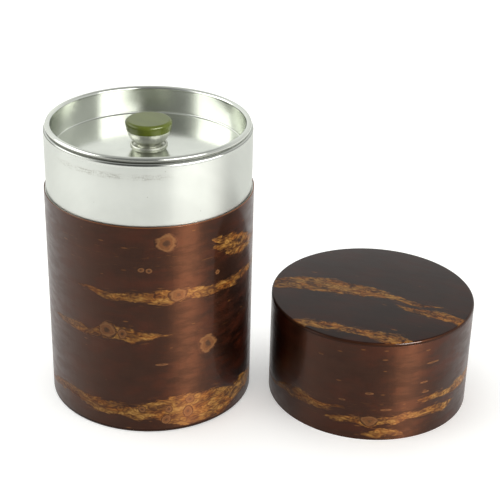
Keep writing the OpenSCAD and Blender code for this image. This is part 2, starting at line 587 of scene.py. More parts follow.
@dataclass(frozen=True)
class BarkSheet:
    """Polished cherry bark: dark red-brown, with golden bands, ringed knots and short dashes.

    Attributes:
        name: The material's name.
        bands: The golden bands.
        layer: A number that makes each sheet's grain differ.
        knots: The knots.
        span: The stretch along the grain that the bands' stations cover.
        reach: Size of the stretch across the grain that they may lie in, in millimetres.
        widest: The greatest half width of a band, in millimetres.
        dark: Colour of the darkest bark.
        red: Colour of the redder bark.
        blush: Colour of the red glow in it.
        glow: Share of that glow.
        hair: Colour of the fine streaks.
        dash: Colour of the short dashes.
        rarity: Share of the places for a dash that stay empty.
        cut_edge: Colour of the cut edge.
        cut: How far in from the cut edge its colour starts and is full, in millimetres.
        gold: Colours of a band, from its dark threads to its pale ones.
        gilding: How far along those colours a band goes.
        ruddy: Tint of a band's redder places.
        rings: Colours of a knot, from its middle to its rim.
        blur: Roughness of the smoothest bark.
        mottling: How much rougher its blotches are.
        waves: Height of its slow waves, in millimetres.
        shine: How strongly the bark reflects.
        tint: Colour of those reflections.
        coat: Share of the clear polish.
        coat_blur: Roughness of the polish.
        coat_index: Index of refraction of the polish.
    """

    slot: ClassVar[Slot]
    name: str
    bands: tuple[Band, ...]
    layer: float
    knots: tuple[Knot, ...] = ()
    span: Range = (-180.0, 180.0)
    reach: float = 200.0
    widest: float = 8.0
    dark: Colour = (0.0012, 0.0005, 0.0004)
    red: Colour = (0.0028, 0.0008, 0.0005)
    blush: Colour = (0.0480, 0.0082, 0.0028)
    glow: float = 0.19
    hair: Colour = (0.0120, 0.0034, 0.0014)
    dash: Colour = (0.075, 0.030, 0.0075)
    rarity: float = 0.92
    cut_edge: Colour = (0.060, 0.021, 0.0075)
    cut: Range = (0.30, 0.12)
    gold: Stops = (
        (0.00, (0.006, 0.0024, 0.0012)), (0.20, (0.026, 0.0102, 0.0028)), (0.42, (0.066, 0.0290, 0.0058)),
        (0.60, (0.104, 0.0510, 0.0112)), (0.80, (0.152, 0.0840, 0.0230)), (1.00, (0.225, 0.1420, 0.0520)),
    )
    gilding: float = 0.85
    ruddy: Colour = (1.0, 0.74, 0.55)
    rings: Stops = (
        (0.00, (0.008, 0.0058, 0.0034)), (0.22, (0.016, 0.0088, 0.0044)), (0.38, (0.056, 0.0220, 0.0070)),
        (0.58, (0.052, 0.0205, 0.0070)), (0.74, (0.078, 0.0370, 0.0130)), (0.86, (0.050, 0.0215, 0.0080)),
        (0.97, (0.003, 0.0012, 0.0008)),
    )
    blur: float = 0.33
    mottling: float = 0.08
    waves: float = 0.06
    shine: float = 0.50
    tint: Colour = (1.0, 0.37, 0.17)
    coat: float = 0.18
    coat_blur: float = 0.09
    coat_index: float = 1.5

    def share_of_span(self, along: "Field | float") -> "Field | float":
        """Turns a place along the grain, in a band's units, into a share of the span."""
        return (along - self.span[0]) / (self.span[1] - self.span[0])

    def beyond(self, spot: Spot, place: Field) -> Field:
        """How far a point lies outside the nearest golden band.

        Args:
            spot: The point.
            place: Its share of the span.

        Returns:
            The distance from the band's edge in millimetres, below 0 inside the band.
        """
        stray = (spot.noise(BAND_WAVE) - 0.5) * WAVE_STRAY + (spot.noise(BAND_FRAY) - 0.5) * FRAY_STRAY
        gaps = []
        for band in self.bands:
            stops = tuple(
                (self.share_of_span(along), (middle / self.reach + 0.5, half / self.widest, 0.0))
                for along, middle, half in band.stations
            )
            middle, half, _ = spot.tree.split(spot.tree.ramp(place, stops, "CARDINAL"))
            middle = (middle - 0.5) * self.reach
            half = half * self.widest
            sway = stray * (half * STRAY_SHARE).at_most(STRAY_MOST) * band.fray
            gap = (spot.across + sway - middle).size() - half
            gaps.append(gap + BAND_END.of(half))
        return reduce(Field.at_most, gaps)

    def figure(self, spot: Spot, mottle: Field) -> Field:
        """The figure in a golden band: threads that run along it and round small eyes.

        Args:
            spot: The point.
            mottle: The bark's fine mottling.

        Returns:
            How pale the point is, from 0 to 1.
        """
        flow = spot.noise(BAND_FLOW)
        swept = replace(spot, along=spot.along + flow * EYE_SWEEP[0],
                        across=spot.across + mottle * EYE_SWEEP[1])
        near, number, _ = swept.cells(BAND_EYES)
        eyes = EYE_BLEND.of(near) * EYE_CHOICE.of(number)
        rings = spot.tree.math("COSINE", near * (FULL_TURN * EYE_RINGS)) * -0.5 + 0.5
        phase = (spot.across * THREADS + flow * THREAD_SWEEP) * FULL_TURN
        threads = spot.tree.math("SINE", phase) * 0.5 + 0.5
        return threads + (rings - threads) * eyes

    def knot_distance(self, spot: Spot, unit: float) -> Field:
        """Distance to the nearest knot's middle, in its own radii.

        Args:
            spot: The point.
            unit: Millimetres to each unit of the knots' places along the grain.

        Returns:
            The distance: 0 in the middle and 1 at the rim.
        """
        bend, shift = ((spot.noise(grain) - 0.5) * 0.5 for grain in (KNOT_BEND, KNOT_SHIFT))
        gaps = []
        for knot in self.knots:
            run = (spot.along - knot.along * unit) / knot.half_along + bend
            rise = (spot.across - knot.across) / knot.half_across + shift
            gaps.append((run * run + rise * rise).power(0.5))
        return reduce(Field.at_most, gaps)

    def ground(self, spot: Spot, hairs: Field, blotch: Field) -> Field:
        """The dark red-brown bark between the bands, with its short golden dashes.

        Args:
            spot: The point.
            hairs: The fine streaks along the grain.
            blotch: The red blotches.

        Returns:
            The colour.
        """
        tree = spot.tree
        near, number, other = spot.cells(DASHES)
        dashes = DASH_BLEND.of(near / (other * DASH_SIZE[1] + DASH_SIZE[0]))
        dashes = dashes * number.ease(self.rarity, self.rarity + 0.02)
        colour = tree.mix(TONE_BLEND.of(spot.noise(TONE)), self.dark, self.red)
        flush = FLUSH_BLEND.of(spot.noise(CLOUD) * 0.6 + blotch * 0.4)
        colour = tree.mix(flush * self.glow, colour, self.blush)
        colour = tree.mix(HAIR_BLEND.of(hairs), colour, self.hair)
        return tree.mix(dashes, colour, self.dash)

    def paint(self, spot: Spot, unit: float) -> None:
        """Lays colour, gloss and relief on the shader.

        Args:
            spot: The point.
            unit: Millimetres to each unit of the bands' places along the grain.
        """
        tree = spot.tree
        hairs, blotch, mottle = (spot.noise(grain) for grain in (HAIRS, BLOTCH, MOTTLE))
        colour = self.ground(spot, hairs, blotch)

        beyond = self.beyond(spot, self.share_of_span(spot.along / unit))
        golden = BAND_EDGE.of(beyond)
        figure = self.figure(spot, mottle)
        gleam = GLEAM_BLEND.of(mottle) + figure * 0.34 - BORDER.of(beyond)
        gilt = tree.ramp(gleam * self.gilding, self.gold)
        gilt = tree.mix(RUDDY_BLEND.of(blotch), gilt, self.ruddy, "MULTIPLY")
        fringe = FRINGE_BLEND.of(spot.noise(FRINGE)) * FRINGE_REACH.of(beyond)
        colour = tree.mix(SHADE.of(beyond), colour, self.dark)
        colour = tree.mix(fringe, colour, self.dash)
        colour = tree.mix(golden, colour, gilt)
        if self.knots:
            away = self.knot_distance(spot, unit)
            knotty = KNOT_BLEND.of(away)
            ringed = tree.ramp(away + (mottle - 0.5) * 0.9, self.rings)
            colour = tree.mix(knotty * 0.90, colour, ringed)
            golden = golden.at_least(knotty)
        rough = golden * 0.15 + hairs * 0.08 + ROUGH_BLEND.of(blotch) * self.mottling + self.blur
        relief = spot.noise(WAVES) * self.waves + hairs * 0.010 + golden * (figure * 0.016 + 0.006)
        tree.relief(relief)
        tree.set_all({
            "Base Color": self.edge(tree, colour), "Roughness": rough,
            "Specular IOR Level": self.shine, "Specular Tint": self.tint,
            "Coat Weight": self.coat, "Coat Roughness": self.coat_blur, "Coat IOR": self.coat_index,
        })

    def edge(self, tree: FinishTree, colour: Field) -> Field:
        """Shows the cut edge of the sheet where a sheet has one."""
        return colour


@dataclass(frozen=True)
class WallBark(BarkSheet):
    """Bark wound round a wall, with its scarfed joint at the back.

    Attributes:
        centre: A point on the wall's axis, in metres.
        radius: The wall's outside radius, in millimetres.
        top: Height of the sheet's upper edge where that is free, in millimetres.
        brushing: How far its sheen is spread up and down.
    """

    slot: ClassVar[Slot] = Slot.WALL_BARK
    centre: Point = ORIGIN
    radius: float = 37.5
    top: float | None = None
    brushing: float = 0.90

    def make(self) -> Finish:
        """Makes the material.

        Returns:
            The finish.
        """
        tree = FinishTree(self.name)
        x, y, z = tree.place(self.centre)
        along = tree.math("ARCTAN2", x, y * -1.0) * self.radius
        self.paint(Spot(tree, along, z, self.layer), self.radius * math.pi / 180.0)
        tree.brushed_round(self.brushing)
        return Finish(tree.material, self.slot)

    def edge(self, tree: FinishTree, colour: Field) -> Field:
        """Shows the paler cut edge along a free top.

        Args:
            tree: The finish.
            colour: The bark's colour.

        Returns:
            The colour with the edge.
        """
        if self.top is None:
            return colour
        _, _, z = tree.place(self.centre)
        return tree.mix(z.ease(*(self.top - inset for inset in self.cut)), colour, self.cut_edge)


@dataclass(frozen=True)
class DiscBark(BarkSheet):
    """Layered bark on a disc, whose sanded edge shows the layers.

    Attributes:
        centre: The disc's middle at its lower face, in metres.
        turn: Direction of the grain, in degrees from +X.
        radius: The disc's radius, in millimetres.
        thickness: The disc's thickness, in millimetres.
        layers: Number of layers of bark.
    """

    slot: ClassVar[Slot] = Slot.DISC_BARK
    span: Range = (-40.0, 40.0)
    glow: float = 0.10
    rarity: float = 0.97
    cut_edge: Colour = (0.014, 0.0050, 0.0024)
    cut: Range = (0.55, 0.30)
    gilding: float = 0.84
    mottling: float = 0.03
    waves: float = 0.010
    shine: float = 0.16
    centre: Point = ORIGIN
    turn: float = 0.0
    radius: float = 37.5
    thickness: float = 1.2
    layers: int = 4

    def make(self) -> Finish:
        """Makes the material.

        Returns:
            The finish.
        """
        tree = FinishTree(self.name)
        x, y, _ = tree.place(self.centre)
        turn = math.radians(self.turn)
        along = x * math.cos(turn) + y * math.sin(turn)
        across = y * math.cos(turn) - x * math.sin(turn)
        self.paint(Spot(tree, along, across, self.layer), 1.0)
        return Finish(tree.material, self.slot)

    def edge(self, tree: FinishTree, colour: Field) -> Field:
        """Shows the layers where the edge is sanded round.

        Args:
            tree: The finish.
            colour: The bark's colour.

        Returns:
            The colour with the edge.
        """
        x, y, z = tree.place(self.centre)
        out = (x * x + y * y).power(0.5)
        lines = tree.math("SINE", z * (FULL_TURN * self.layers / self.thickness)) * 0.5 + 0.5
        layered = tree.mix(lines, self.red, self.cut_edge)
        return tree.mix(out.ease(*(self.radius - inset for inset in self.cut)), colour, layered)


# Kinds of noise on the tin, and on the marks rubbed on it
TIN_CLOUD = Grain(18.0, 18.0, 0.0, 4.0)
DRAWN = Grain(0.9, 26.0, 1.0)
TURNED = Grain(48.0, 0.30, 2.0)
SPECKS = Grain(6.0, 6.0, 3.0)
SMUDGE = Grain(2.4, 0.5, 6.0, 4.0)
TICKS = Grain(0.30, 1.1, 7.0, 2.0)
PATCHES = Grain(7.0, 40.0, 8.0, 2.0)
# How these show, and how the marks fade by the distance from their height in millimetres
TIN_CLOUD_BLEND = Blend(0.35, 0.70)
SPECK_BLEND = Blend(0.040, 0.022, 0.65)
SPECK_CHOICE = Blend(0.90, 0.93)
SMUDGE_BLEND = Blend(0.44, 0.64, 0.45)
TICK_BLEND = Blend(0.46, 0.62, 0.30)
PATCH_BLEND = Blend(0.30, 0.52)
MARK_FADE = Blend(1.5, 0.3)
# Half the width of the soft edges of polish and of the painted shade lines, in millimetres
POLISH_SOFT = 0.20
SHADE_SOFT = 0.06


@dataclass(frozen=True)
class CreaseShade:
    """Painted shade: a darker line laid on a stretch of a turned piece, in a crease between parts where
    shade falls.

    Attributes:
        heights: Heights between which it lies, in millimetres.
        radii: Radii between which it lies, in millimetres.
        share: How dark the painted shade is, from 0 to 1.
    """

    heights: Range
    radii: Range
    share: float


@dataclass(frozen=True)
class Side:
    """One side of a turned piece, in degrees from the front.

    Attributes:
        middle: Its middle.
        far: How far to each side of the middle it ends.
        near: How far to each side of the middle it starts to fade.
    """

    middle: float
    far: float
    near: float

    def share(self, turn: Field) -> Field:
        """Is 1 on this side and 0 beyond it, for an angle from the front in radians."""
        away = (turn - math.radians(self.middle)).size()
        return away.ease(math.radians(self.far), math.radians(self.near))


@dataclass(frozen=True)
class Tinplate:
    """Tinned sheet, worked round its axis, with a soft sheen, fine streaks and a few specks.

    Attributes:
        name: The material's name.
        slot: The record's slot that it belongs to.
        colour: The metal's colour.
        roughness: How far its reflections are blurred.
        sheen: How far they are spread up and down.
        layer: A number that makes each sheet's streaks differ.
        centre: A point on the piece's axis, in metres.
        radius: The piece's radius, in millimetres.
        scuffs: Height of the rubbed marks, in millimetres, or none.
        scuffed_side: The side that they are on.
        polished_heights: Heights between which it is smoother, in millimetres, or none.
        polished_radii: Radii between which it is smoother, in millimetres, or none.
        polish: Its roughness there.
        crease_shade: Where shade is painted into the creases between parts.
        shaded_side: The side where the painted shade is thick; it fades out towards the lit side.
        thin_shade: How much of the painted shade there is elsewhere.
        grain: How deep its streaks are.
        tarnish: The colour of specks and marks.
        painted_shade: The colour of the painted shade.
        rim: How the metal tints its reflections at a glancing angle.
    """

    name: str
    slot: Slot
    colour: Colour
    roughness: float
    sheen: float
    layer: float
    centre: Point = ORIGIN
    radius: float = 36.0
    scuffs: float | None = None
    scuffed_side: Side = Side(-22.0, 42.0, 18.0)
    polished_heights: Range | None = None
    polished_radii: Range | None = None
    polish: float = 0.16
    # Painted shade in the creases between parts: where it lies, the side where it is full and how much is
    # left elsewhere
    crease_shade: tuple[CreaseShade, ...] = ()
    shaded_side: Side = Side(-40.0, 100.0, 45.0)
    thin_shade: float = 0.4
    grain: float = 1.0
    tarnish: Colour = (0.30, 0.29, 0.25)
    # Colour of the painted shade
    painted_shade: Colour = (0.060, 0.060, 0.048)
    rim: Colour = (0.80, 0.81, 0.79)

    def make(self) -> Finish:
        """Makes the material.

        Returns:
            The finish.
        """
        tree = FinishTree(self.name)
        x, y, z = tree.place(self.centre)
        turn = tree.math("ARCTAN2", x, y * -1.0)
        along = turn * self.radius
        out = (x * x + y * y).power(0.5)
        spot = Spot(tree, along, z + out, self.layer)
        cloud = replace(spot, along=x, across=y + z).noise(TIN_CLOUD)
        drawn, turned = (spot.noise(grain) for grain in (DRAWN, TURNED))
        near, number, _ = spot.cells(SPECKS)
        specks = SPECK_BLEND.of(near) * SPECK_CHOICE.of(number)
        duller = tuple(0.90 * channel for channel in self.colour)
        colour = tree.mix(TIN_CLOUD_BLEND.of(cloud), duller, self.colour)
        colour = tree.mix(specks, colour, self.tarnish)
        rough = cloud * 0.08 + drawn * 0.05 + (self.roughness - 0.065)
        limits = ((z, self.polished_heights), (out, self.polished_radii))
        bright = [tree.within(place, stretch, POLISH_SOFT) for place, stretch in limits if stretch]
        if bright:
            rough = rough - reduce(Field.at_least, bright) * (self.roughness - self.polish)
        # Painted shade: darker colour laid into the creases between the rolled rims, full on the shaded
        # side and fading out where light falls
        thick = self.shaded_side.share(turn) * (1.0 - self.thin_shade) + self.thin_shade
        for crease_shade in self.crease_shade:
            here = tree.within(z, crease_shade.heights, SHADE_SOFT) * tree.within(out, crease_shade.radii, SHADE_SOFT)
            painted_shade = here * thick * crease_shade.share
            colour = tree.mix(painted_shade, colour, self.painted_shade)
            rough = rough + painted_shade * 0.10
        if self.scuffs is not None:
            marks = self.rubbed(replace(spot, across=z)) * self.scuffed_side.share(turn)
            colour = tree.mix(marks, colour, self.tarnish)
            rough = rough + marks * 0.15
        tree.relief((turned * 0.0036 + drawn * 0.0012) * self.grain)
        tree.set_all({"Base Color": colour, "Metallic": 1.0, "Roughness": rough, "Specular Tint": self.rim})
        tree.brushed_round(self.sheen)
        return Finish(tree.material, self.slot)

    def rubbed(self, spot: Spot) -> Field:
        """Marks that the cap's tube has rubbed on the neck.

        Args:
            spot: The point, with its height as its place across.

        Returns:
            How dark the marks are, from 0 to 1.
        """
        marks = SMUDGE_BLEND.of(spot.noise(SMUDGE)) + TICK_BLEND.of(spot.noise(TICKS))
        near = MARK_FADE.of((spot.across - self.scuffs).size())
        return marks * PATCH_BLEND.of(spot.noise(PATCHES)) * near


# Kinds of noise in the lacquer, and how they show
FLAKES = Grain(0.10, 0.10, 1.0, 1.0)
LACQUER_CLOUD = Grain(5.0, 5.0, 2.0, 2.0)
FLAKE_BLEND = Blend(0.35, 0.70, 0.55)
LACQUER_BLEND = Blend(0.30, 0.70, 0.45)


@dataclass(frozen=True)
class PearlLacquer:
    """Green lacquer with a fine pearl sparkle under a clear coat.

    Attributes:
        name: The material's name.
        deep: Its darker colour.
        pale: Its paler colour.
        pearl: How metallic it is.
        shine: How strongly it reflects.
        coat: Share of the clear coat.
        coat_blur: Roughness of the clear coat.
    """

    slot: ClassVar[Slot] = Slot.GREEN_LACQUER
    name: str
    deep: Colour
    pale: Colour
    pearl: float = 0.12
    shine: float = 0.37
    coat: float = 0.10
    coat_blur: float = 0.10

    def make(self) -> Finish:
        """Makes the material.

        Returns:
            The finish.
        """
        tree = FinishTree(self.name)
        x, y, z = tree.place(ORIGIN)
        spot = Spot(tree, x, y + z)
        flakes, cloud = (spot.noise(grain) for grain in (FLAKES, LACQUER_CLOUD))
        share = FLAKE_BLEND.of(flakes) + LACQUER_BLEND.of(cloud)
        tree.relief(flakes * 0.004)
        tree.set_all({
            "Base Color": tree.mix(share, self.deep, self.pale), "Metallic": self.pearl,
            "Roughness": flakes * 0.12 + 0.20, "Specular IOR Level": self.shine,
            "Coat Weight": self.coat, "Coat Roughness": self.coat_blur,
        })
        return Finish(tree.material, self.slot)


class Outline:
    """A turned piece's section, drawn from one vertex in the half plane of radius and height."""

    def __init__(self, radius: float, height: float) -> None:
        """Starts the outline.

        Args:
            radius: Distance of its first point from the axis, in metres.
            height: Height of its first point, in metres.
        """
        self.bm = bmesh.new()
        self.start = self.bm.verts.new((radius, 0.0, height))
        self.tip = self.start

    def step(self, radius: float, height: float) -> None:
        """Draws one straight facet.

        Args:
            radius: Distance of its end from the axis, in metres.
            height: Height of its end, in metres.
        """
        made = bmesh.ops.extrude_vert_indiv(self.bm, verts=[self.tip])
        self.tip = made["verts"][0]
        self.tip.co = (radius, 0.0, height)

    def line(self, radius: float, height: float) -> "Outline":
        """Draws a straight stretch, with a short facet at each end that keeps it flat when shaded.

        Args:
            radius: Distance of its end from the axis, in metres.
            height: Height of its end, in metres.

        Returns:
            The outline.
        """
        start, end = self.tip.co.copy(), Vector((radius, 0.0, height))
        run = end - start
        if run.length > 3.0 * GUARD:
            guard = run.normalized() * GUARD
            for point in (start + guard, end - guard):
                self.step(point.x, point.z)
        self.step(radius, height)
        return self

    def arc(self, radius: float, height: float, turn: float, steps: Facets) -> "Outline":
        """Draws a round stretch.

        Args:
            radius: Distance of its centre from the axis, in metres.
            height: Height of its centre, in metres.
            turn: How far it turns, in degrees, anticlockwise with the axis on the left.
            steps: Number of facets.

        Returns:
            The outline.
        """
        made = bmesh.ops.spin(self.bm, geom=[self.tip], cent=(radius, 0.0, height), axis=(0.0, -1.0, 0.0),
                              angle=math.radians(turn), steps=steps, use_duplicate=False)
        self.tip = next(item for item in made["geom_last"] if isinstance(item, bmesh.types.BMVert))
        return self

    def close(self) -> "Outline":
        """Joins the last point to the first with a straight stretch.

        Returns:
            The outline.
        """
        start = self.start
        self.line(start.co.x, start.co.z)
        bmesh.ops.pointmerge(self.bm, verts=[start, self.tip], merge_co=start.co)
        return self

    def turned(self, sheet: float = 0.0, flip: bool = False,
               centre: Vector = Vector(ORIGIN)) -> bmesh.types.BMesh:
        """Turns the section round its axis.

        Args:
            sheet: Thickness to give an open section, in metres.
            flip: Whether the thickness lies on the other side.
            centre: A point on the axis, in metres.

        Returns:
            The closed mesh.
        """
        bm = self.bm
        bmesh.ops.spin(bm, geom=bm.verts[:] + bm.edges[:], cent=ORIGIN, axis=(0.0, 0.0, 1.0),
                       angle=FULL_TURN, steps=Facets.TURN, use_merge=True)
        bmesh.ops.remove_doubles(bm, verts=bm.verts[:], dist=WELD)
        bmesh.ops.recalc_face_normals(bm, faces=bm.faces[:])
        if sheet:
            if flip:
                bmesh.ops.reverse_faces(bm, faces=bm.faces[:])
            bmesh.ops.solidify(bm, geom=bm.faces[:], thickness=sheet)
            bmesh.ops.recalc_face_normals(bm, faces=bm.faces[:])
        bmesh.ops.translate(bm, verts=bm.verts[:], vec=(centre.x, centre.y, 0.0))
        return bm


@dataclass
class SubAssembly:
    """One body's pieces.

    Attributes:
        body: The body that they ride on.
        finishes: The finishes that they wear.
    """

    body: ClassVar[Body]
    finishes: "Finishes"

    def add(self, bm: bmesh.types.BMesh, name: str, finish: Finish, *nodes: str) -> None:
        """Makes an object of a mesh, dresses it and puts it on its body.

        Args:
            bm: The mesh, which is used up.
            name: The piece's name.
            finish: Its finish.
            nodes: The nodes that it stands for.
        """
        mesh = bpy.data.meshes.new(name)
        for face in bm.faces:
            face.smooth = True
        bm.to_mesh(mesh)
        bm.free()
        mesh.set_sharp_from_angle(angle=CRISP)
        mesh.materials.append(finish.material)
        piece = bpy.data.objects.new(name, mesh)
        bpy.context.scene.collection.objects.link(piece)
        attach(piece, self.body.value)
        if nodes:
            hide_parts(*nodes)
        LOG.info("%s: %d faces, on %s", name, len(mesh.polygons), self.body.value)


def dress(node: str, finish: Finish) -> None:
    """Gives a node that stays in view its finish.

    Args:
        node: The node's name.
        finish: The finish.
    """
    slots = frame["nodes"][node].material_slots
    for slot in slots:
        slot.material = finish.material
    LOG.info("%s: %d finishes", node, len(slots))


def round_size(node: str) -> tuple[Vector, float]:
    """Finds the middle and the radius of a turned node.

    Args:
        node: The node's name.

    Returns:
        The middle of its box and its radius, in metres.
    """
    low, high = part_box(node)
    return 0.5 * (low + high), 0.5 * (high.x - low.x)


def ring(inner: float, outer: float, low: float, high: float, rounding: float) -> Outline:
    """A wall's section with its outer upper edge eased.

    Args:
        inner: Inside radius, in metres.
        outer: Outside radius, in metres.
        low: Height of the lower edge, in metres.
        high: Height of the upper edge, in metres.
        rounding: Radius of the eased edge, in metres.

    Returns:
        The closed outline.
    """
    outline = Outline(inner, low).line(outer, low).line(outer, high - rounding)
    outline.arc(outer - rounding, high - rounding, 90.0, Facets.FINE_EDGE)
    return outline.line(inner, high).close()


def scarf_groove(bm: bmesh.types.BMesh, radius: float, width: float, depth: float) -> None:
    """Cuts the fine groove where the two ends of a wound sheet meet at the back.

    Args:
        bm: A ring round the axis, with a row of vertices at the back.
        radius: The ring's outside radius, in metres.
        width: Width of the groove, in metres.
        depth: Depth of the groove, in metres.
    """
    for side in (-0.5, 0.5):
        back = [face for face in bm.faces if face.calc_center_median().y > 0.0]
        parts = {item for face in back for item in (face, *face.edges, *face.verts)}
        bmesh.ops.bisect_plane(bm, geom=list(parts), dist=ON_CUT, plane_co=(side * width, 0.0, 0.0),
                               plane_no=(1.0, 0.0, 0.0))
    line = [v for v in bm.verts if abs(v.co.x) < 0.01 * width and v.co.y > radius - depth]
    bmesh.ops.translate(bm, verts=line, vec=(0.0, -depth, 0.0))


@dataclass
class Canister(SubAssembly):
    """The bark-covered tin can: body, base, neck and bottom. Sizes are in metres and angles in degrees."""

    body: ClassVar[Body] = Body.CANISTER
    bark: float = 0.35 * MM
    bark_edge: float = 0.10 * MM
    base_edge: float = 0.60 * MM
    wall: float = 0.30 * MM
    mouth_roll: float = 1.0 * MM
    roll_turn: float = 280.0
    sheet: float = 0.25 * MM
    skirt: float = 6.0 * MM
    corner: float = 1.0 * MM
    panel_radius: float = 27.0 * MM
    panel_rise: float = 0.80 * MM
    panel_bend: float = 0.30 * MM
    seam: float = 5.0 * MM
    seam_edge: float = 0.05 * MM
    seam_ends: Range = (7.53 * MM, 101.7 * MM)
    seam_facets: int = 8
    groove: Range = (0.36 * MM, 0.07 * MM)

    def build(self) -> None:
        """Builds and dresses the canister's pieces."""
        self.build_bark()
        self.build_can()
        self.build_bottom()
        dress("body_sleeve", self.finishes.inner_tin)

    def build_bark(self) -> None:
        """Builds the wound bark and the layered base."""
        low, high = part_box("body_bark")
        bm = ring(high.x - self.bark, high.x, low.z, high.z, self.bark_edge).turned()
        scarf_groove(bm, high.x, *self.groove)
        self.add(bm, "body_bark_sheet", self.finishes.body_bark, "body_bark")

        low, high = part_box("base_bark")
        edge = self.base_edge
        outline = Outline(0.0, low.z).line(high.x - edge, low.z)
        outline.arc(high.x - edge, low.z + edge, 90.0, Facets.CORNER)
        outline.line(high.x, high.z).line(0.0, high.z)
        self.add(outline.turned(), "base_bark_disc", self.finishes.base_bark, "base_bark")

    def build_can(self) -> None:
        """Builds the inner can, with its rolled mouth and its inside seam."""
        low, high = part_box("can_wall")
        roll = self.mouth_roll
        outline = Outline(high.x, low.z).line(high.x, high.z - roll)
        outline.arc(high.x - roll, high.z - roll, self.roll_turn, Facets.ROLLED_EDGE)
        self.add(outline.turned(self.wall), "can_and_neck", self.finishes.neck_tin, "can_wall")

        inside = high.x - self.wall
        turn = self.seam / inside
        bm = ring(inside - self.wall, inside + 0.5 * self.wall, *self.seam_ends, self.seam_edge).bm
        bmesh.ops.rotate(bm, verts=bm.verts[:], cent=ORIGIN,
                         matrix=Matrix.Rotation(0.5 * (math.pi - turn), 3, "Z"))
        bmesh.ops.holes_fill(bm, edges=bm.edges[:], sides=0)
        bmesh.ops.spin(bm, geom=bm.verts[:] + bm.edges[:] + bm.faces[:], cent=ORIGIN,
                       axis=(0.0, 0.0, 1.0), angle=turn, steps=self.seam_facets)
        bmesh.ops.recalc_face_normals(bm, faces=bm.faces[:])
        self.add(bm, "can_side_seam", self.finishes.inner_tin)

    def build_bottom(self) -> None:
        """Builds the pressed bottom with its raised panel and its skirt."""
        low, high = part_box("can_bottom")
        radius, z = high.x, low.z
        bend, rise, corner = self.panel_bend, self.panel_rise, self.corner
        # The panel's slope falls as far as it runs out
        lean = 45.0
        slant = math.radians(lean)
        fall = bend * (1.0 - math.cos(slant))
        slope = rise - 2.0 * fall
        inner = self.panel_radius - slope - 2.0 * bend * math.sin(slant)
        outline = Outline(0.0, z + rise).line(inner, z + rise)
        outline.arc(inner, z + rise - bend, -lean, Facets.FINE_EDGE)
        foot = outline.tip.co
        outline.step(foot.x + slope, foot.z - slope)
        outline.arc(self.panel_radius, z + bend, lean, Facets.FINE_EDGE)
        outline.line(radius - corner, z)
        outline.arc(radius - corner, z + corner, 90.0, Facets.CORNER)
        outline.line(radius, z + self.skirt)
        self.add(outline.turned(self.sheet, flip=True), "can_bottom_panel", self.finishes.inner_tin,
                 "can_bottom")


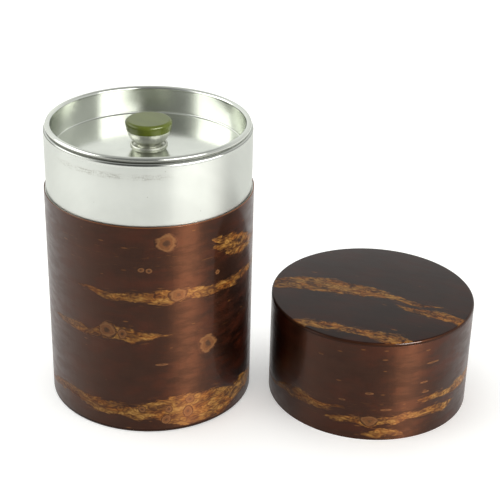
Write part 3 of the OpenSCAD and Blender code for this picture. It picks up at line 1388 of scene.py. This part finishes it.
@dataclass
class InnerLid(SubAssembly):
    """The pressed tin lid and its riveted knob. Sizes are in metres and angles in degrees."""

    body: ClassVar[Body] = Body.INNER_LID
    roll: float = 0.80 * MM
    roll_start: float = -100.0
    sheet: float = 0.25 * MM
    dish_depth: float = 10.2 * MM
    dish_crown: float = 0.80 * MM
    dish_corner: float = 0.85 * MM
    knob_metal: float = 0.35 * MM
    bowl: float = 5.4 * MM
    bowl_diameter: float = 15.1 * MM
    waist_diameter: float = 8.6 * MM
    foot_diameter: float = 13.2 * MM
    foot_ring: float = 0.50 * MM
    stem_height: float = 8.15 * MM
    top_edge: float = 1.20 * MM
    top_height: float = 3.50 * MM
    top_foot: float = 7.93 * MM
    hole: float = 1.60 * MM
    washer_edge: float = 0.12 * MM
    rivet: float = 1.50 * MM
    rivet_edge: float = 0.45 * MM
    rivet_head: float = 0.90 * MM

    def build(self) -> None:
        """Builds and dresses the lid's pieces."""
        self.build_dish()
        self.build_knob()
        self.build_rivet()

    def build_dish(self) -> None:
        """Builds the dish, its crowned floor and its rolled rim."""
        _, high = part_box("lid_pan")
        roll, corner, crown = self.roll, self.dish_corner, self.dish_crown
        roll_z, roll_r = high.z - roll, high.x - roll
        inside = roll_r - roll
        floor_r, floor_z = inside - corner, high.z - self.dish_depth
        dome = (floor_r * floor_r + crown * crown) / (2.0 * crown)
        start = math.radians(self.roll_start)
        outline = Outline(roll_r + roll * math.cos(start), roll_z + roll * math.sin(start))
        outline.arc(roll_r, roll_z, 180.0 - self.roll_start, Facets.ROLLED_EDGE)
        outline.line(inside, floor_z + corner)
        outline.arc(floor_r, floor_z + corner, -90.0, Facets.CORNER)
        reach = math.asin(floor_r / dome) - math.asin(self.hole / dome)
        outline.arc(0.0, floor_z + crown - dome, math.degrees(reach), Facets.DOME)
        self.add(outline.turned(self.sheet, flip=True), "lid_dish", self.finishes.lid_tin, "lid_pan")

    def build_knob(self) -> None:
        """Builds the knob's metal bowl on its foot ring, and its lacquered top."""
        _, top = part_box("knob_top")
        foot_z = top.z - self.top_height
        low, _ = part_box("knob_stem")
        z, ring_r, metal = low.z, self.foot_ring, self.knob_metal
        bowl, bowl_r, waist_r = self.bowl, 0.5 * self.bowl_diameter, 0.5 * self.waist_diameter
        bowl_c = bowl_r - bowl
        foot_c = 0.5 * self.foot_diameter - ring_r
        rim_z = z + self.stem_height
        outer = math.acos((waist_r - bowl_c) / bowl)
        inner = math.acos((waist_r - metal - bowl_c) / (bowl - metal))
        outline = Outline(self.hole, z).line(foot_c, z)
        outline.arc(foot_c, z + ring_r, 270.0, Facets.FOOT_RING)
        outline.line(waist_r, z + ring_r).line(waist_r, foot_z - bowl * math.sin(outer))
        outline.arc(bowl_c, foot_z, math.degrees(outer), Facets.BOWL)
        outline.line(bowl_r, rim_z).line(bowl_r - metal, rim_z).line(bowl_r - metal, foot_z)
        outline.arc(bowl_c, foot_z, -math.degrees(inner), Facets.BOWL_INSIDE)
        outline.line(waist_r - metal, z + ring_r + metal).line(self.hole, z + ring_r + metal).close()
        self.add(outline.turned(), "knob_bowl", self.finishes.knob_metal, "knob_stem")

        edge = self.top_edge
        outline = Outline(self.top_foot, foot_z).line(top.x, top.z - edge)
        outline.arc(top.x - edge, top.z - edge, 90.0, Facets.KNOB_EDGE)
        outline.line(0.0, top.z)
        self.add(outline.turned(metal), "knob_green_top", self.finishes.green, "knob_top")

    def build_rivet(self) -> None:
        """Builds the washer under the dish and the rivet that holds the knob."""
        low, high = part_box("knob_washer")
        outline = ring(self.hole, high.x, low.z, high.z, self.washer_edge)
        self.add(outline.turned(), "knob_washer_ring", self.finishes.knob_metal, "knob_washer")

        low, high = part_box("knob_rivet")
        edge, head, shank = self.rivet_edge, self.rivet_head, self.rivet
        outline = Outline(0.0, low.z).line(high.x - edge, low.z)
        outline.arc(high.x - edge, low.z + edge, 90.0, Facets.CORNER)
        outline.line(high.x, low.z + head).line(shank, low.z + head)
        outline.line(shank, high.z - head).line(high.x, high.z - head).line(high.x, high.z - edge)
        outline.arc(high.x - edge, high.z - edge, 90.0, Facets.CORNER)
        outline.line(0.0, high.z)
        self.add(outline.turned(), "knob_rivet_pin", self.finishes.knob_metal, "knob_rivet")


@dataclass
class Cap(SubAssembly):
    """The bark cap that stands beside the canister. Sizes are in metres."""

    body: ClassVar[Body] = Body.CAP
    bark: float = 0.35 * MM
    bark_edge: float = 0.02 * MM
    groove: Range = (0.36 * MM, 0.07 * MM)
    top_edge: float = 0.90 * MM
    crown: float = 0.70 * MM
    crown_fall: float = 3.0
    crown_steps: int = 24
    sheet: float = 0.25 * MM
    sheet_edge: float = 0.02 * MM
    corner: float = 1.0 * MM

    def build(self) -> None:
        """Builds and dresses the cap's pieces."""
        self.build_bark()
        self.build_tin()

    def build_bark(self) -> None:
        """Builds the wound bark and the layered top."""
        low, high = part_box("cap_bark")
        centre, radius = round_size("cap_bark")
        bm = ring(radius - self.bark, radius, low.z, high.z, self.bark_edge).turned()
        scarf_groove(bm, radius, *self.groove)
        bmesh.ops.translate(bm, verts=bm.verts[:], vec=(centre.x, centre.y, 0.0))
        self.add(bm, "cap_bark_sheet", self.finishes.cap_bark, "cap_bark")

        low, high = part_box("cap_top_bark")
        edge, crown = self.top_edge, self.crown
        flat = high.z - crown
        outline = Outline(0.0, low.z).line(radius, low.z).line(radius, flat - edge)
        outline.arc(radius - edge, flat - edge, 90.0, Facets.CAP_EDGE)
        for step in reversed(range(self.crown_steps)):
            share = step / self.crown_steps
            outline.step((radius - edge) * share, flat + crown * (1.0 - share ** self.crown_fall))
        self.add(outline.turned(centre=centre), "cap_top_disc", self.finishes.cap_top, "cap_top_bark")

    def build_tin(self) -> None:
        """Builds the tin tube and the pressed plate inside the cap."""
        centre, _ = round_size("cap_bark")
        low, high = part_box("cap_tube")
        _, radius = round_size("cap_tube")
        outline = ring(radius - self.sheet, radius, low.z, high.z, self.sheet_edge)
        self.add(outline.turned(centre=centre), "cap_tin_tube", self.finishes.cap_tin, "cap_tube")

        low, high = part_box("cap_plate")
        _, radius = round_size("cap_plate")
        corner = self.corner
        outline = Outline(0.0, high.z).line(radius - corner, high.z)
        outline.arc(radius - corner, high.z - corner, -90.0, Facets.CORNER)
        outline.line(radius, low.z)
        bm = outline.turned(self.sheet, centre=centre)
        self.add(bm, "cap_tin_plate", self.finishes.cap_tin, "cap_plate")


BODY_BANDS = (
    Band(((-180, 57, 1.2), (-120, 56, 0.8), (-90, 56, 0.0), (-46, 56.2, 0.0), (-40, 56.1, 0.4),
          (-34, 56.2, 0.7), (-27, 55, 1.2), (-15, 54.8, 1.5), (-12, 55.1, 1.9), (1, 54.8, 1.9),
          (5, 55.3, 2.7), (10, 54.9, 2.6), (18, 55.4, 1.9), (24, 54.7, 1.8), (53, 54.2, 2.0),
          (67, 54.3, 1.2), (100, 53, 1.8), (140, 54, 0.6), (180, 57, 1.2))),
    Band(((-180, 36, 0.0), (-110, 36, 1.6), (-80, 37.5, 0.0), (-66, 38.3, 0.0), (-62, 38.5, 0.6),
          (-58, 38.5, 1.1), (-43, 39, 1.8), (-35, 39, 1.5), (-31, 39.6, 1.7), (-23, 40.9, 3.4),
          (-17, 40.5, 2.1), (-11, 40, 2.9), (-8, 39.6, 2.0), (0, 39.8, 1.2), (5, 40, 0.6),
          (11, 40.1, 0.2), (16, 40.1, 0.0), (120, 36, 0.0), (150, 36, 2.0), (180, 36, 0.0))),
    Band(((-180, 10, 1.8), (-110, 7, 1.0), (-77, 6.5, 0.9), (-68, 8.6, 1.5), (-58, 10.2, 1.7),
          (-51, 10.1, 1.7), (-30, 9, 3.0), (-17, 9.1, 2.8), (-11, 8.3, 2.9), (1, 9.5, 3.4), (6, 8.2, 4.8),
          (10, 8.5, 5.9), (23, 8.2, 6.6), (37, 7.7, 6.0), (44, 6.9, 5.2), (51, 6.9, 3.6), (62, 7.6, 3.3),
          (75, 7.4, 2.6), (100, 8, 1.6), (180, 10, 1.8))),
    Band(((-180, 73, 0.0), (33, 73.6, 0.0), (36, 73.2, 0.9), (44, 71.8, 1.3), (52, 71.0, 1.3),
          (60, 69.2, 0.9), (67, 68.4, 0.3), (70, 68.2, 0.0), (180, 73, 0.0)), 2.2),
    Band(((-180, 70, 0.0), (34, 70.6, 0.0), (37, 70.0, 1.0), (46, 69.0, 1.4), (55, 67.6, 1.3),
          (64, 66.4, 1.3), (75, 65.5, 1.0), (90, 65, 0.4), (110, 65, 0.0), (180, 70, 0.0)), 2.2),
    Band(((-180, 66, 0.0), (42, 66.9, 0.0), (46, 66.5, 0.7), (54, 65.4, 1.0), (63, 64.4, 0.9),
          (70, 63.8, 0.4), (76, 63.5, 0.0), (180, 66, 0.0)), 2.2),
)
BODY_KNOTS = (
    Knot(8.2, 75.6, 3.9, 3.8), Knot(31.7, 33.4, 3.8, 4.1), Knot(14.1, 55.5, 3.5, 2.7),
    Knot(-24.1, 41.0, 3.2, 3.2), Knot(-15.7, 40.3, 1.7, 1.9), Knot(-5.2, 65.7, 1.3, 0.9),
    Knot(-1.0, 65.4, 1.2, 1.0), Knot(37.9, 60.6, 1.2, 1.05), Knot(5.1, 28.2, 2.4, 0.45),
    Knot(8.9, 9.2, 1.3, 1.6), Knot(19.7, 7.3, 1.9, 2.2), Knot(20.9, 12.0, 1.7, 1.4),
    Knot(-5.9, 9.7, 1.4, 1.5), Knot(7.0, 5.0, 1.8, 1.8), Knot(-120.0, 66.0, 3.2, 3.4),
    Knot(160.0, 22.0, 3.0, 3.2),
)
CAP_BANDS = (
    Band(((-180, 14, 0.0), (-120, 10, 1.6), (-90, 7, 0.8), (-72, 8.7, 0.8), (-62, 10.9, 1.7),
          (-56, 11, 2.4), (-51, 12, 2.0), (-45, 11.5, 2.0), (-42, 11.1, 1.4), (-33, 11.2, 1.1),
          (-28, 12.3, 0.5), (-23, 12.7, 0.4), (-19, 12.8, 0.0), (180, 14, 0.0))),
    Band(((-180, 8, 0.0), (-35, 7.3, 0.0), (-32, 7.3, 0.4), (-28, 7.3, 1.2), (-15, 8.2, 1.2),
          (-8, 7.4, 2.2), (1, 8.5, 1.5), (6, 8.1, 1.6), (15, 9.5, 1.6), (20, 9, 1.4), (32, 9.4, 2.0),
          (38, 8.9, 1.6), (45, 9.3, 0.5), (49, 9.4, 0.0), (180, 8, 0.0))),
    Band(((-180, 14, 0.0), (17, 15.2, 0.0), (20, 15.1, 0.5), (25, 14.8, 0.9), (30, 15.2, 1.1),
          (43, 14.6, 1.3), (51, 14.9, 2.0), (61, 14.2, 2.3), (90, 13, 1.8), (130, 16, 1.2),
          (160, 15, 0.0), (180, 14, 0.0))),
    Band(((-180, 3, 0.0), (-14, 2.1, 0.0), (-11, 2.2, 0.5), (-4, 2.6, 1.8), (-1, 2.9, 1.8), (7, 2.7, 1.3),
          (11, 2.2, 0.5), (14, 2.1, 0.0), (140, 27, 0.0), (165, 28, 1.8), (180, 28, 1.0))),
)
CAP_KNOTS = (
    Knot(-9.0, 19.6, 1.7, 0.5), Knot(-23.6, 15.8, 1.4, 0.4), Knot(0.6, 12.8, 2.1, 0.4),
    Knot(26.5, 29.9, 2.7, 0.4), Knot(21.9, 22.4, 1.7, 0.4), Knot(23.5, 18.2, 1.7, 0.4),
    Knot(-37.0, 32.1, 1.2, 0.3), Knot(-8.0, 8.0, 3.0, 2.2), Knot(110.0, 26.0, 2.6, 2.8),
)
TOP_BANDS = (
    Band(((-40, -8, 3.2), (-35, -7.2, 4.0), (-30, -5, 4.9), (-20, -3, 5.2), (-10, -2.3, 4.6),
          (1, -1.8, 3.5), (7, -1.8, 2.1), (18, -3.7, 1.4), (22, -3.2, 0.8), (27, -1.8, 0.3),
          (30, -1.5, 0.0), (40, -1.5, 0.0))),
    Band(((-40, -7, 0.0), (10, -7, 0.0), (12, -7.2, 0.5), (16, -8.2, 1.5), (29, -7.8, 2.7),
          (34, -8.8, 2.6), (40, -10, 2.0))),
    Band(((-40, -32.3, 0.0), (-25, -32.3, 0.0), (-23, -32.3, 0.9), (-17, -32.3, 3.0), (-13, -30.8, 2.5),
          (7, -30.1, 2.1), (17, -30.5, 3.0), (22, -30, 1.8), (25, -30, 0.8), (40, -29, 0.0))),
)
BASE_BANDS = (
    Band(((-40, 14, 1.5), (-10, 16, 2.6), (15, 15, 3.2), (40, 12, 1.2))),
    Band(((-40, -12, 0.0), (-5, -14, 2.2), (40, -12, 2.6))),
)


class Finishes:
    """Every finish on the caddy, made once."""

    def __init__(self) -> None:
        """Makes the materials."""
        centre, _ = round_size("cap_bark")
        cap_at = (centre.x, centre.y, 0.0)
        body_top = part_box("body_bark")[1].z / MM
        low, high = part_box("cap_top_bark")
        dull_tin = (0.74, 0.75, 0.71)
        self.body_bark = WallBark("body bark", BODY_BANDS, 3.0, BODY_KNOTS, top=body_top).make()
        self.cap_bark = WallBark("cap bark", CAP_BANDS, 17.0, CAP_KNOTS, centre=cap_at).make()
        self.cap_top = DiscBark("cap top bark", TOP_BANDS, 29.0, turn=-26.0,
                                centre=(centre.x, centre.y, low.z),
                                thickness=(high.z - low.z) / MM - Cap.crown / MM).make()
        self.base_bark = DiscBark("base bark", BASE_BANDS, 41.0, turn=18.0).make()
        self.neck_tin = Tinplate(
            "neck tin", Slot.NECK_TIN, (0.60, 0.615, 0.575), 0.30, 0.65, 2.0, scuffs=99.3,
            polished_heights=(102.6, 105.0),
            # Painted shade lines: in the crease at the top of the can's roll and under its bead
            crease_shade=(CreaseShade((103.90, 104.20), (34.5, 35.62), 0.40),
                   CreaseShade((103.34, 103.64), (36.4, 36.80), 0.60)),
        ).make()
        self.inner_tin = Tinplate("inner tin", Slot.INNER_TIN, dull_tin, 0.36, 0.50, 11.0).make()
        self.lid_tin = Tinplate(
            "lid tin", Slot.LID_TIN, (0.79, 0.81, 0.75), 0.24, 0.30, 23.0,
            polished_heights=(104.4, 107.0), polished_radii=(-1.0, 33.6),
            # Painted shade in the crease between the lid's roll and the can's mouth
            crease_shade=(CreaseShade((103.95, 104.86), (35.2, 36.4), 0.85),),
        ).make()
        self.cap_tin = Tinplate("cap tin", Slot.INNER_TIN, dull_tin, 0.36, 0.50, 31.0, centre=cap_at).make()
        self.knob_metal = Tinplate("knob metal", Slot.KNOB_METAL, (0.70, 0.71, 0.63), 0.36, 0.10, 37.0,
                                   radius=6.0, grain=0.2).make()
        self.green = PearlLacquer("green lacquer", (0.060, 0.076, 0.007), (0.090, 0.111, 0.012)).make()


@dataclass(frozen=True)
class Lamp:
    """A soft light that faces the object. Sizes are in metres and angles in degrees.

    Attributes:
        name: The light's name.
        azimuth: Its direction to the right of the front.
        elevation: Its direction above the floor.
        distance: Its distance from the object.
        size: Its width and height.
        power: Its power, in watts.
        falls_on: The last words of the finishes that it falls on, or none where it falls on all.
        colour: Its colour.
    """

    name: str
    azimuth: float
    elevation: float
    distance: float
    size: Range
    power: float
    falls_on: tuple[str, ...] = ()
    colour: Colour = (1.0, 1.0, 0.99)


WARM = (1.0, 0.985, 0.95)
LAMPS = (
    Lamp("key light", 38.5, 33.0, 0.90, (0.32, 0.42), 25.0, ("bark",), WARM),
    Lamp("low light", 51.0, 8.0, 0.95, (1.05, 0.40), 8.0, ("neck tin", "metal"), WARM),
    Lamp("window light", 37.0, 28.0, 1.10, (0.90, 0.60), 4.6, ("tin", "metal", "lacquer")),
    Lamp("edge light", 42.0, 34.0, 0.95, (0.80, 0.35), 11.0, ("lacquer",), (1.0, 1.0, 0.96)),
    Lamp("left light", -92.0, 28.0, 1.10, (1.05, 0.70), 4.2),
    Lamp("top light", 0.0, 88.0, 1.20, (1.10, 1.10), 8.5, ("paper",)),
)


@dataclass
class Studio:
    """The floor, the light and the camera. Sizes are in metres and angles in degrees.

    Attributes:
        eye: Where the camera stands.
        pan: How far it looks to the right.
        tilt: How far it looks down.
        roll: How far it is turned about its line of sight.
        lens: Its focal length, in millimetres.
        sensor: Its sensor's width, in millimetres.
        clip: The nearest and the furthest that it sees.
        floor_size: The floor's width.
        paper: The floor's colour.
        paper_glow: How much light the floor gives of itself.
        middle: The point that the lights face.
        sky: Brightness of the surroundings.
        sky_colour: Their colour.
        slope: How their brightness changes to the right and to the back.
        dim_share: Share that is left of it in the dim patch behind the camera.
        dim_azimuth: Direction of that patch to the right of the front.
        dim_elevation: Its direction above the floor.
        dim_spread: How far from its middle it ends and is full.
        zenith_share: Share that is left overhead.
        zenith: Heights above the horizon where overhead starts and is full.
    """

    eye: Point = (0.0, -0.4225, 0.2658)
    pan: float = 4.965
    tilt: float = 26.536
    roll: float = -1.4
    lens: float = 92.24
    sensor: float = 36.0
    clip: Range = (0.02, 20.0)
    floor_size: float = 6.0
    paper: Colour = (0.86, 0.86, 0.85)
    paper_glow: float = 0.30
    middle: Point = (0.041, 0.0, 0.04)
    sky: float = 0.85
    sky_colour: Colour = (0.985, 1.0, 0.985)
    slope: Range = (-0.20, 0.20)
    dim_share: float = 0.28
    dim_azimuth: float = -14.0
    dim_elevation: float = 25.0
    dim_spread: Range = (52.0, 24.0)
    zenith_share: float = 0.55
    zenith: Range = (32.0, 56.0)

    def build(self) -> None:
        """Builds the studio."""
        self.build_floor()
        self.build_camera()
        self.build_world()
        for lamp in LAMPS:
            self.add_light(lamp)
        view = bpy.context.scene.view_settings
        view.view_transform = "Standard"
        view.look = "None"

    def build_floor(self) -> None:
        """Lays the pale floor."""
        bm = bmesh.new()
        bmesh.ops.create_grid(bm, x_segments=1, y_segments=1, size=0.5 * self.floor_size)
        mesh = bpy.data.meshes.new("floor")
        bm.to_mesh(mesh)
        bm.free()
        paper = FinishTree("floor paper")
        paper.set_all({"Base Color": self.paper, "Roughness": 0.9, "Specular IOR Level": 0.1,
                       "Emission Color": (1.0, 1.0, 0.99), "Emission Strength": self.paper_glow})
        mesh.materials.append(paper.material)
        floor = bpy.data.objects.new("floor", mesh)
        bpy.context.scene.collection.objects.link(floor)

    def build_camera(self) -> None:
        """Sets the camera at the photograph's viewing angle."""
        pan, tilt, roll = (math.radians(angle) for angle in (self.pan, self.tilt, self.roll))
        ahead = Vector((math.sin(pan) * math.cos(tilt), math.cos(pan) * math.cos(tilt), -math.sin(tilt)))
        right = Vector((math.cos(pan), -math.sin(pan), 0.0))
        down = ahead.cross(right)
        side = math.cos(roll) * right + math.sin(roll) * down
        up = math.sin(roll) * right - math.cos(roll) * down
        data = bpy.data.cameras.new("camera")
        data.lens = self.lens
        data.sensor_width = self.sensor
        data.clip_start, data.clip_end = self.clip
        camera = bpy.data.objects.new("camera", data)
        turn = Matrix((side, up, -ahead)).transposed().to_4x4()
        camera.matrix_world = Matrix.Translation(self.eye) @ turn
        bpy.context.scene.collection.objects.link(camera)
        bpy.context.scene.camera = camera

    def build_world(self) -> None:
        """Surrounds the object with pale light, dimmer behind the camera and overhead."""
        world = bpy.data.worlds.new("studio")
        world.use_nodes = True
        tree = FieldTree(world.node_tree)
        x, y, z = tree.axes(Field(tree, tree.node("ShaderNodeTexCoord").outputs["Generated"]))
        dim = self.direction(self.dim_azimuth, self.dim_elevation)
        facing = x * dim.x + y * dim.y + z * dim.z
        dimmed = facing.ease(*(math.cos(math.radians(angle)) for angle in self.dim_spread))
        overhead = z.ease(*(math.sin(math.radians(angle)) for angle in self.zenith))
        level = (x * self.slope[0] + y * self.slope[1] + 1.0) * self.sky
        level = level * (1.0 - dimmed * (1.0 - self.dim_share))
        level = level * (1.0 - overhead * (1.0 - self.zenith_share))
        background = tree.nodes["Background"]
        tree.feed(background.inputs["Color"], self.sky_colour)
        tree.feed(background.inputs["Strength"], level)
        bpy.context.scene.world = world

    def direction(self, azimuth: float, elevation: float) -> Vector:
        """The way from the object to a point round it.

        Args:
            azimuth: Degrees to the right of the front.
            elevation: Degrees above the floor.

        Returns:
            The direction, of length 1.
        """
        turn, rise = math.radians(azimuth), math.radians(elevation)
        return Vector((math.sin(turn) * math.cos(rise), -math.cos(turn) * math.cos(rise), math.sin(rise)))

    def add_light(self, lamp: Lamp) -> None:
        """Adds a light, and keeps it to the surfaces that it falls on.

        Args:
            lamp: What the light is like.
        """
        data = bpy.data.lights.new(lamp.name, "AREA")
        data.shape = "RECTANGLE"
        data.size, data.size_y = lamp.size
        data.energy = lamp.power
        data.color = lamp.colour
        light = bpy.data.objects.new(lamp.name, data)
        away = self.direction(lamp.azimuth, lamp.elevation)
        light.location = Vector(self.middle) + lamp.distance * away
        light.rotation_mode = "QUATERNION"
        light.rotation_quaternion = (-away).to_track_quat("-Z", "Y")
        bpy.context.scene.collection.objects.link(light)
        if lamp.falls_on:
            lit = bpy.data.collections.new("lit by " + lamp.name)
            for item in bpy.context.scene.objects:
                if item.type == "MESH" and item.active_material.name.endswith(lamp.falls_on):
                    lit.objects.link(item)
            light.light_linking.receiver_collection = lit


def main() -> None:
    """Builds the caddy, its lid, its cap and the studio."""
    logging.basicConfig(level=logging.INFO, format="%(name)s: %(message)s")
    finishes = Finishes()
    for sub_assembly in (Canister(finishes), InnerLid(finishes), Cap(finishes)):
        sub_assembly.build()
    Studio().build()


if __name__ == "__main__":
    main()
